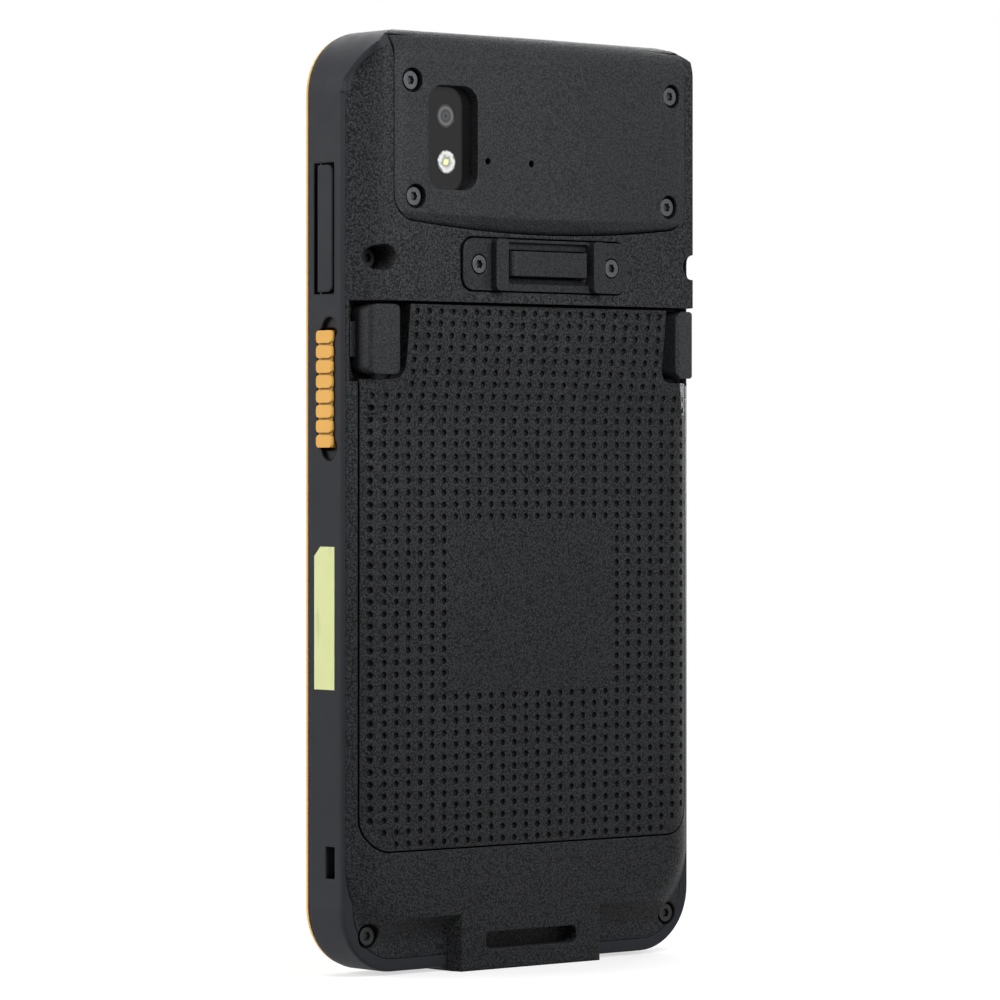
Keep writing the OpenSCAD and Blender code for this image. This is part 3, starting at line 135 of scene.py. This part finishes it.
class Shader:
    """One Principled material, with helpers that add and link nodes."""

    def __init__(self, name):
        self.material = bpy.data.materials.new(name)
        self.material.use_nodes = True
        self.tree = self.material.node_tree
        self.bsdf = self.tree.nodes["Principled BSDF"]
        self.coords = self.add("ShaderNodeTexCoord").outputs["Object"]

    def add(self, kind, **values):
        node = self.tree.nodes.new(kind)
        for key, value in values.items():
            setattr(node, key, value)
        return node

    def link(self, source, target):
        self.tree.links.new(source, target)

    def put(self, node, socket, value):
        """Sets a socket to a value, or links it to an output."""
        target = node.inputs[socket]
        if isinstance(value, bpy.types.NodeSocket):
            self.link(value, target)
        else:
            target.default_value = value

    def scaled(self, factors):
        node = self.add("ShaderNodeMapping")
        self.link(self.coords, node.inputs["Vector"])
        node.inputs["Scale"].default_value = factors
        return node.outputs["Vector"]

    def turned(self, angle):
        """Coordinates turned about the Y axis."""
        node = self.add("ShaderNodeMapping")
        self.link(self.coords, node.inputs["Vector"])
        node.inputs["Rotation"].default_value = (0.0, angle, 0.0)
        return node.outputs["Vector"]

    def split(self):
        node = self.add("ShaderNodeSeparateXYZ")
        self.link(self.coords, node.inputs[0])
        return node.outputs

    def noise(self, scale, detail=3.0, rough=0.5, vector=None, distort=0.0):
        node = self.add("ShaderNodeTexNoise")
        self.link(vector or self.coords, node.inputs["Vector"])
        node.inputs["Scale"].default_value = scale
        node.inputs["Detail"].default_value = detail
        node.inputs["Roughness"].default_value = rough
        node.inputs["Distortion"].default_value = distort
        return node.outputs["Fac"]

    def cells(self, scale, smooth):
        node = self.add("ShaderNodeTexVoronoi", feature="SMOOTH_F1")
        self.link(self.coords, node.inputs["Vector"])
        node.inputs["Scale"].default_value = scale
        node.inputs["Smoothness"].default_value = smooth
        return node.outputs["Distance"]

    def remap(self, value, source, target):
        """Spreads the source range, (low, high), over the target range."""
        node = self.add("ShaderNodeMapRange")
        self.put(node, "Value", value)
        node.inputs["From Min"].default_value, node.inputs["From Max"].default_value = source
        node.inputs["To Min"].default_value, node.inputs["To Max"].default_value = target
        return node.outputs["Result"]

    def math(self, operation, first, second):
        node = self.add("ShaderNodeMath", operation=operation)
        self.put(node, 0, first)
        self.put(node, 1, second)
        return node.outputs["Value"]

    def within(self, value, low, high):
        """1 where the value lies between low and high, else 0."""
        node = self.add("ShaderNodeMath", operation="COMPARE")
        self.link(value, node.inputs[0])
        node.inputs[1].default_value = (low + high) / 2
        node.inputs[2].default_value = (high - low) / 2
        return node.outputs["Value"]

    def distance_from(self, centre):
        """Distance from the line along Y through centre, (X, Z)."""
        place = self.split()
        across = self.math("SUBTRACT", place["X"], centre[0])
        up = self.math("SUBTRACT", place["Z"], centre[1])
        squares = self.math("ADD", self.math("MULTIPLY", across, across),
                            self.math("MULTIPLY", up, up))
        return self.math("SQRT", squares, 0.0)

    def tint(self, colour, factor):
        """The colour times a grey factor."""
        node = self.add("ShaderNodeMix", data_type="RGBA", blend_type="MULTIPLY")
        node.inputs[0].default_value = 1.0
        self.put(node, 6, colour)
        self.put(node, 7, factor)
        return node.outputs[2]

    def mix(self, factor, first, second):
        node = self.add("ShaderNodeMix", data_type="RGBA")
        self.put(node, 0, factor)
        self.put(node, 6, first)
        self.put(node, 7, second)
        return node.outputs[2]

    def mottled(self, colour, noise, spread):
        """The colour, lighter and darker by spread as the noise goes."""
        factor = self.remap(noise, NARROW, FULL)
        return self.mix(factor, lighter(colour, 1.0 - spread), lighter(colour, 1.0 + spread))

    def ramp(self, value, end, first, last, stops):
        """Colours by place: first at 0, last at end, and stops of (share of end, colour)."""
        node = self.add("ShaderNodeValToRGB")
        self.link(self.remap(value, (0.0, end), FULL), node.inputs["Fac"])
        elements = node.color_ramp.elements
        elements[0].position, elements[0].color = 0.0, first
        elements[1].position, elements[1].color = 1.0, last
        for place, colour in stops:
            elements.new(place).color = colour
        return node.outputs["Color"]

    def bump(self, height, distance, normal=None):
        node = self.add("ShaderNodeBump")
        node.inputs["Distance"].default_value = distance
        node.inputs["Strength"].default_value = 1.0
        self.link(height, node.inputs["Height"])
        if normal is not None:
            self.link(normal, node.inputs["Normal"])
        return node.outputs["Normal"]

    def edges(self, radius):
        """(softened normal, mask that is 1 on edges, which are lightened for wear and as a
        painted highlight).
        """
        bevel = self.add("ShaderNodeBevel", samples=BEVEL_SAMPLES)
        bevel.inputs["Radius"].default_value = radius
        flat = self.add("ShaderNodeNewGeometry").outputs["Normal"]
        dot = self.add("ShaderNodeVectorMath", operation="DOT_PRODUCT")
        self.link(bevel.outputs["Normal"], dot.inputs[0])
        self.link(flat, dot.inputs[1])
        mask = self.remap(dot.outputs["Value"], EDGE_RANGE, FULL)
        return bevel.outputs["Normal"], mask

    def painted_pit_shade(self, base, reach, darkest=0.2):
        """Paints shade: darkens the colour, down to darkest, in pits, wells and gaps narrower
        than reach.
        """
        shade = self.add("ShaderNodeAmbientOcclusion", samples=OCCLUSION_SAMPLES)
        shade.inputs["Distance"].default_value = reach
        return self.tint(base, self.remap(shade.outputs["AO"], SKY_RANGE, (darkest, 1.0)))

    def finish(self, base, rough, normal=None, **constants):
        self.put(self.bsdf, "Base Color", base)
        self.put(self.bsdf, "Roughness", rough)
        if normal is not None:
            self.link(normal, self.bsdf.inputs["Normal"])
        for key, value in constants.items():
            self.bsdf.inputs[key.replace("_", " ")].default_value = value
        return self.material


def rgb(red, green, blue):
    """Linear colour from display values of 0 to 255."""
    def linear(value):
        value /= 255
        return value / 12.92 if value <= 0.04045 else ((value + 0.055) / 1.055) ** 2.4
    return (linear(red), linear(green), linear(blue), 1.0)


def lighter(colour, factor):
    """The colour times a factor, no channel above 1. A factor below 1 darkens it."""
    return tuple(min(1.0, part * factor) for part in colour[:3]) + (1.0,)


def moulded(name, colour, rough, grain, grain_size, wear_and_highlight=1.5, edge=0.2, specular=0.15):
    """Moulded plastic. grain is the texture's depth and grain_size its width, in mm."""
    s = Shader(name)
    softened, worn_and_lit_edges = s.edges(edge * MM)
    grains = 1.0 / (grain_size * MM)
    pebbles = s.cells(grains * PEBBLES_PER_CREASE, smooth=0.5)
    creases = s.noise(grains, rough=0.6, distort=0.6)
    normal = s.bump(s.math("ADD", pebbles, creases), grain * MM, softened)
    shade = s.mottled(colour, s.noise(MOULDED_MOTTLE, detail=4.0), spread=0.08)
    rubbed = s.noise(RUBBING)
    # Edges lighter for wear and as a painted highlight
    edge_wear_and_highlight = s.math("MULTIPLY", worn_and_lit_edges, s.remap(rubbed, (0.35, 0.6), (0.2, 0.8)))
    base = s.painted_pit_shade(s.mix(edge_wear_and_highlight, shade, lighter(colour, wear_and_highlight)), MOULDED_REACH)
    dull = s.remap(rubbed, WIDE, (rough - 0.04, rough + 0.05))
    return s.finish(base, dull, normal, Specular_IOR_Level=specular)


def leathery(name, colour, rough=0.5, depth=0.05, contrast=0.85, edge=0.45):
    """Plastic with the fine leather grain of the housing: creases round small pebbles.

    The depth of the grain and the rounding of the edges are in mm, and contrast says how far
    the colour follows the grain: its darker low places and lighter high places are painted
    shade and highlight."""
    s = Shader(name)
    softened, worn_and_lit_edges = s.edges(edge * MM)
    pebbles = s.math("MULTIPLY", s.cells(LEATHER_PEBBLES, smooth=0.2), PEBBLE_WEIGHT)
    creases = s.noise(LEATHER_CREASES, detail=2.0)
    height = s.math("ADD", pebbles, creases)
    normal = s.bump(height, depth * MM, softened)
    grain_shade_and_highlight = s.remap(height, LEATHER_HEIGHTS, (1.0 - contrast, 1.0 + contrast))
    shade = s.tint(s.mottled(colour, s.noise(LEATHER_MOTTLE), spread=0.06), grain_shade_and_highlight)
    # Edges lighter for wear and as a painted highlight
    edge_wear_and_highlight = s.math("MULTIPLY", worn_and_lit_edges, s.remap(creases, (0.4, 0.6), (0.1, 0.7)))
    base = s.mix(edge_wear_and_highlight, shade, lighter(colour, 1.9))
    base = s.painted_pit_shade(base, LEATHER_REACH, darkest=0.05)
    dull = s.remap(creases, NARROW, (rough + 0.1, rough - 0.06))
    return s.finish(base, dull, normal, Specular_IOR_Level=0.12)


def metal(name, colour, rough, brushed=(1, 1, 1), metallic=1.0):
    """Worked metal. brushed stretches its streaks along the axis with the small factor."""
    s = Shader(name)
    softened, worn_and_lit_edges = s.edges(METAL_EDGE)
    streaks = s.noise(STREAKS, vector=s.scaled(brushed))
    base = s.mix(streaks, lighter(colour, 0.8), lighter(colour, 1.15))
    # Edges lighter for wear and as a painted highlight, and painted shade in pits and gaps
    base = s.painted_pit_shade(s.mix(worn_and_lit_edges, base, lighter(colour, 1.4)), METAL_REACH, darkest=0.12)
    normal = s.bump(streaks, STREAK_DEPTH, softened)
    dull = s.remap(streaks, WIDE, (rough - 0.06, rough + 0.08))
    return s.finish(base, dull, normal, Metallic=metallic)


def glassy(name, colour, rough, **constants):
    """Dark glass with a faint haze in its colour and a smear in its gloss.

    The constants are set on the shader's own sockets."""
    s = Shader(name)
    haze = s.noise(HAZE, detail=2.0)
    smear = s.noise(GLASS_SMEAR, detail=4.0, distort=1.5)
    base = s.mix(haze, lighter(colour, 0.85), lighter(colour, 1.15))
    softened, _ = s.edges(GLASS_EDGE)
    return s.finish(base, s.remap(smear, UPPER, (rough, rough + 0.05)), softened, **constants)


def screen_glass(name, border, lit, rim):
    """Touch glass: black border, and the unlit display a shade lighter inside its rim."""
    s = Shader(name)
    low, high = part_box("display_panel")
    place = s.split()
    inside = s.math("MULTIPLY", s.within(place["X"], low[0] + rim, high[0] - rim),
                    s.within(place["Z"], low[2] + rim, high[2] - rim))
    smear = s.noise(SCREEN_SMEAR, detail=4.0, distort=1.5)
    dust = s.noise(DUST, detail=2.0)
    base = s.mix(inside, border, s.mix(dust, lighter(lit, 0.9), lighter(lit, 1.1)))
    softened, _ = s.edges(GLASS_EDGE)
    return s.finish(base, s.remap(smear, UPPER, (0.04, 0.1)), softened)


def printed_film(name, colour):
    """Thin blank label film, a little uneven and scuffed."""
    s = Shader(name)
    fibres = s.noise(FIBRES)
    stain = s.noise(STAINS, detail=4.0)
    scuffs = s.noise(SCUFFS, detail=5.0, vector=s.scaled(ALONG_LABEL))
    base = s.mix(stain, lighter(colour, 0.88), lighter(colour, 1.06))
    base = s.mix(s.remap(scuffs, (0.6, 0.72), (0.0, 0.35)), base, lighter(colour, 0.55))
    softened, _ = s.edges(FILM_EDGE)
    normal = s.bump(fibres, FIBRE_DEPTH, softened)
    return s.finish(base, s.remap(fibres, WIDE, (0.38, 0.5)), normal)


def ringed_glass(name, centre, colour, bright):
    """Camera glass: dark rings of the barrel show round a small pupil at centre (X, Z)."""
    s = Shader(name)
    base = s.ramp(s.distance_from(centre), BARREL_RADIUS,
                  lighter(colour, 0.5), lighter(colour, 0.7),
                  ((0.2, lighter(colour, 0.4)), (0.26, lighter(bright, 0.6)),
                   (0.34, lighter(colour, 1.2)), (0.5, lighter(colour, 1.0)),
                   (0.6, lighter(bright, 0.5)), (0.76, lighter(bright, 0.8)),
                   (0.84, lighter(colour, 0.5))))
    return s.finish(base, s.remap(s.noise(LENS_DUST), WIDE, (0.05, 0.1)), Coat_Weight=0.5)


def flash_glass(name, centre, radius):
    """Flash lens: a pale yellow-green chip, seen through clear facets with a bright rim."""
    s = Shader(name)
    facets = s.cells(FACETS, smooth=0.1)
    wobble = s.remap(facets, (0.0, 0.7), (-0.12 * radius, 0.12 * radius))
    colours = s.ramp(s.math("ADD", s.distance_from(centre), wobble), radius,
                     rgb(246, 247, 176), rgb(84, 85, 86),
                     ((0.28, rgb(226, 229, 168)), (0.42, rgb(128, 130, 118)),
                      (0.58, rgb(170, 172, 166)), (0.8, rgb(222, 223, 221)),
                      (0.92, rgb(168, 169, 169))))
    # Painted shade in the facets' pits and in the gap round the lens
    base = s.painted_pit_shade(colours, FLASH_REACH, darkest=0.6)
    dull = s.remap(facets, (0.1, 0.6), (0.12, 0.3))
    return s.finish(base, dull, s.bump(facets, FACET_DEPTH), Coat_Weight=0.5)


def wire_mesh(name, colour, pitch):
    """Fine woven mesh, drawn by two crossing sets of waves. pitch is in mm."""
    s = Shader(name)
    waves = []
    for turn in (math.radians(45), math.radians(-45)):
        wave = s.add("ShaderNodeTexWave", wave_type="BANDS", bands_direction="X")
        s.link(s.turned(turn), wave.inputs["Vector"])
        wave.inputs["Scale"].default_value = BAND_PITCH / (pitch * MM)
        waves.append(wave.outputs["Fac"])
    weave = s.math("MAXIMUM", *waves)
    base = s.mix(s.remap(weave, (0.4, 0.8), FULL), lighter(colour, 0.1), colour)
    return s.finish(base, s.remap(weave, FULL, (0.6, 0.35)), s.bump(weave, WIRE_DEPTH),
                    Metallic=0.8)


# ---------- materials of the pieces ----------

def middle(node):
    """(X, Z) of a node's centre."""
    low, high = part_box(node)
    return tuple((low[axis] + high[axis]) / 2 for axis in (0, 2))


FLASH_RADIUS = (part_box("flash_lens")[1][0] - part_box("flash_lens")[0][0]) / 2

# By the material slots of the record
MATERIALS = {
    "accent_orange": moulded("accent_orange", rgb(255, 190, 94), 0.4, 0.006, 0.5, wear_and_highlight=1.08),
    "frame_grey": moulded("frame_grey", rgb(48, 49, 53), 0.5, 0.006, 0.4, wear_and_highlight=1.35, edge=0.5,
                          specular=0.08),
    "housing_black": leathery("housing_black", rgb(43, 44, 46)),
    "cover_black": leathery("cover_black", rgb(41, 42, 44)),
    "smooth_black": leathery("smooth_black", rgb(40, 41, 43), depth=0.04, contrast=0.45,
                             edge=0.3),
    "front_glass": screen_glass("front_glass", rgb(6, 6, 7), rgb(24, 26, 31), DISPLAY_RIM),
    "clear_glass": ringed_glass("clear_glass", middle("camera_lens"), rgb(30, 31, 33),
                                rgb(96, 98, 102)),
    "dark_glass": glassy("dark_glass", rgb(16, 16, 17), 0.12, Specular_IOR_Level=0.3),
    "white_lens": flash_glass("white_lens", middle("flash_lens"), FLASH_RADIUS),
    "screw_steel": metal("screw_steel", rgb(84, 85, 88), 0.4, metallic=0.8),
    "bright_steel": metal("bright_steel", rgb(176, 178, 182), 0.3, brushed=(1, 1, 0.1)),
    "alloy": metal("alloy", rgb(150, 152, 156), 0.42),
    "gold": metal("gold", rgb(214, 174, 96), 0.3),
    "board_green": moulded("board_green", rgb(20, 84, 52), 0.4, 0.01, 0.3),
    "module_black": moulded("module_black", rgb(30, 31, 34), 0.42, 0.01, 0.3),
    "seal_grey": moulded("seal_grey", rgb(70, 72, 74), 0.7, 0.01, 0.3),
    "label_yellow": printed_film("label_yellow", rgb(232, 239, 166)),
    "cell_wrap": moulded("cell_wrap", rgb(66, 88, 120), 0.35, 0.01, 0.4),
    "copper": metal("copper", rgb(196, 120, 76), 0.36, brushed=(0.1, 1, 1)),
    "panel_dark": glassy("panel_dark", rgb(22, 24, 28), 0.2),
}

# Nodes whose finish isn't their slot's. The scan window is dull enough not to mirror the key
# light. The screws that sit deep in wells take a darker copy of the steel, painted shade of
# their wells, and the card door pin takes the same darker steel.
SHADED_STEEL = metal("shaded_steel", rgb(38, 39, 41), 0.4, metallic=0.6)
OWN_FINISH = {
    "earpiece_mesh": wire_mesh("mesh_steel", rgb(90, 92, 96), 0.3),
    "head_cover": leathery("head_black", rgb(44, 45, 47), contrast=0.5),
    "scan_window": glassy("scan_glass", rgb(22, 13, 14), 0.42, Specular_IOR_Level=0.1),
    "card_door_pin": SHADED_STEEL,
    "shoulder_screws": SHADED_STEEL,
    "bottom_screws": SHADED_STEEL,
}


def dress_nodes():
    """Gives every CAD node its finished material."""
    slots = {row["node"]: row["material_slot"] for row in frame["record"]["subparts"]}
    for name, obj in NODES.items():
        material = OWN_FINISH.get(name) or MATERIALS[slots[name]]
        if not obj.data.materials:
            obj.data.materials.append(material)
        for place in obj.material_slots:
            place.material = material


# ---------- stage, light and camera ----------

def seen_as_backdrop(nodes, links):
    """1 for rays that show the background: camera, mirror and glass rays."""
    path = nodes.new("ShaderNodeLightPath")
    total = path.outputs["Is Camera Ray"]
    for name in ("Is Glossy Ray", "Is Transmission Ray"):
        either = nodes.new("ShaderNodeMath")
        either.operation = "MAXIMUM"
        links.new(total, either.inputs[0])
        links.new(path.outputs[name], either.inputs[1])
        total = either.outputs["Value"]
    return total


def white_world():
    """White where it is seen, and dim as a light."""
    world = bpy.data.worlds.new("studio")
    world.use_nodes = True
    nodes, links = world.node_tree.nodes, world.node_tree.links
    nodes.clear()
    output = nodes.new("ShaderNodeOutputWorld")
    mix = nodes.new("ShaderNodeMixShader")
    links.new(seen_as_backdrop(nodes, links), mix.inputs["Fac"])
    for socket, strength in ((1, AMBIENT), (2, 1.0)):
        background = nodes.new("ShaderNodeBackground")
        background.inputs["Color"].default_value = WHITE
        background.inputs["Strength"].default_value = strength
        links.new(background.outputs[0], mix.inputs[socket])
    links.new(mix.outputs[0], output.inputs["Surface"])
    bpy.context.scene.world = world


def backdrop_glow(nodes, links, colour, backdrop):
    """Light that only the rays that show the background see."""
    glow = nodes.new("ShaderNodeEmission")
    glow.inputs["Color"].default_value = colour
    links.new(backdrop, glow.inputs["Strength"])
    return glow.outputs[0]


def floor_fade(nodes, links):
    """0 near the object, and 1 where the floor has turned into the background."""
    centre = nodes.new("ShaderNodeTexCoord").outputs["Object"]
    reach = nodes.new("ShaderNodeVectorMath")
    reach.operation = "LENGTH"
    links.new(centre, reach.inputs[0])
    fade = nodes.new("ShaderNodeMapRange")
    fade.interpolation_type = "SMOOTHSTEP"
    fade.inputs["From Min"].default_value = FADE_START
    fade.inputs["From Max"].default_value = FADE_END
    links.new(reach.outputs["Value"], fade.inputs["Value"])
    return fade.outputs["Result"]


def floor_material():
    """Pale and lifted to white for the camera near the object, plain white further out."""
    material = bpy.data.materials.new("floor_white")
    material.use_nodes = True
    nodes, links = material.node_tree.nodes, material.node_tree.links
    nodes.clear()
    output = nodes.new("ShaderNodeOutputMaterial")
    pale = nodes.new("ShaderNodeBsdfDiffuse")
    pale.inputs["Color"].default_value = FLOOR_PALE
    backdrop = seen_as_backdrop(nodes, links)
    both = nodes.new("ShaderNodeAddShader")
    links.new(pale.outputs[0], both.inputs[0])
    links.new(backdrop_glow(nodes, links, FLOOR_GLOW, backdrop), both.inputs[1])
    blend = nodes.new("ShaderNodeMixShader")
    links.new(floor_fade(nodes, links), blend.inputs["Fac"])
    links.new(both.outputs[0], blend.inputs[1])
    links.new(backdrop_glow(nodes, links, WHITE, backdrop), blend.inputs[2])
    links.new(blend.outputs[0], output.inputs["Surface"])
    return material


def white_floor():
    """A pale floor with the object's soft shadow, which fades into the white background."""
    mesh = bpy.data.meshes.new("floor")
    level = CAD_BOX[0][2]
    corners = ((-1, -1), (1, -1), (1, 1), (-1, 1))
    mesh.from_pydata([(x * FLOOR_HALF, y * FLOOR_HALF, level) for x, y in corners], [],
                     [(0, 1, 2, 3)])
    floor = bpy.data.objects.new("floor", mesh)
    bpy.context.scene.collection.objects.link(floor)
    mesh.materials.append(floor_material())


def softbox(name, place, aim, width, height, power):
    """A rectangular lamp at place, turned to aim."""
    light = bpy.data.lights.new(name, "AREA")
    light.shape = "RECTANGLE"
    light.size, light.size_y = width, height
    light.energy = power
    obj = bpy.data.objects.new(name, light)
    obj.location = place
    obj.rotation_mode = "QUATERNION"
    obj.rotation_quaternion = (Vector(aim) - Vector(place)).to_track_quat("-Z", "Y")
    bpy.context.scene.collection.objects.link(obj)


def camera():
    """Level camera off the card-door side, behind the terminal."""
    data = bpy.data.cameras.new("camera")
    data.sensor_width = SENSOR_WIDTH
    data.lens = LENS
    data.shift_y = SHIFT_UP
    data.clip_start, data.clip_end = CAMERA_CLIP
    obj = bpy.data.objects.new("camera", data)
    bpy.context.scene.collection.objects.link(obj)
    obj.location = CAMERA_PLACE
    obj.rotation_mode = "QUATERNION"
    obj.rotation_quaternion = Vector(CAMERA_FORWARD).to_track_quat("-Z", "Y")
    bpy.context.scene.camera = obj


bpy.context.scene.view_settings.view_transform = "Standard"
dress_nodes()
white_world()
white_floor()
camera()
for label, place, width, height, power in SOFTBOXES:
    softbox(label, place, MIDDLE, width, height, power)
